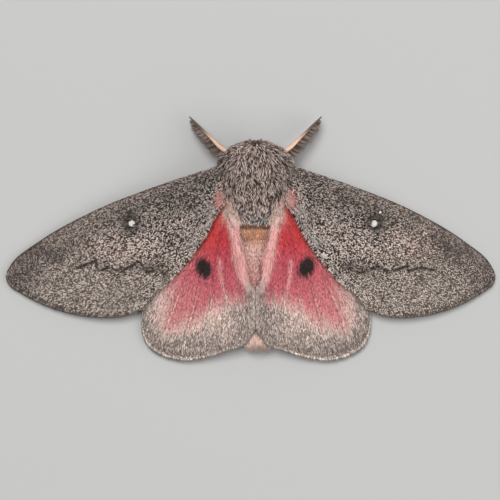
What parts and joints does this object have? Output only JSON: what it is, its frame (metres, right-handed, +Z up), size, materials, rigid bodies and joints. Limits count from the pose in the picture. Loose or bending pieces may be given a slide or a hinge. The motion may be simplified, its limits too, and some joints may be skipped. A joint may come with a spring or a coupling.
{
  "type": "silk moth",
  "caption": "Life-size still model of a small brown silk moth at rest with its wings spread, showing rose-red hindwings with a black oval spot on each.",
  "frame": {"origin": "middle of the bounding box at the floor that the six feet stand on", "axes": "+X is the animal's left, with the wingspan along X; the head is towards -Y; +Z is up, out of the back"},
  "size_m": [0.0582, 0.0291, 0.009],
  "materials": {
    "thorax_fur": "grey-brown hair-like scales with pale tips, matte",
    "head_fur": "brown hair-like scales, matte",
    "abdomen_fur": "pinkish tan down over orange-brown rings, matte",
    "forewing": "grey-brown scales speckled dark and light, matte",
    "hindwing": "rose-red scales with a grey-tan border and a black spot, matte",
    "antenna": "tan shaft with dark brown branches, matte",
    "eye": "near-black, faintly faceted gloss",
    "leg": "short pinkish brown scales, matte"
  },
  "bodies": {
    "root": {"thorax": "thorax_fur", "head": "head_fur", "abdomen": "abdomen_fur", "forewing_left": "forewing", "hindwing_left": "hindwing", "antenna_left": "antenna", "eye_left": "eye", "leg_fore_left": "leg", "leg_mid_left": "leg", "leg_hind_left": "leg", "forewing_right": "forewing", "hindwing_right": "hindwing", "antenna_right": "antenna", "eye_right": "eye", "leg_fore_right": "leg", "leg_mid_right": "leg", "leg_hind_right": "leg"}
  },
  "joints": []
}
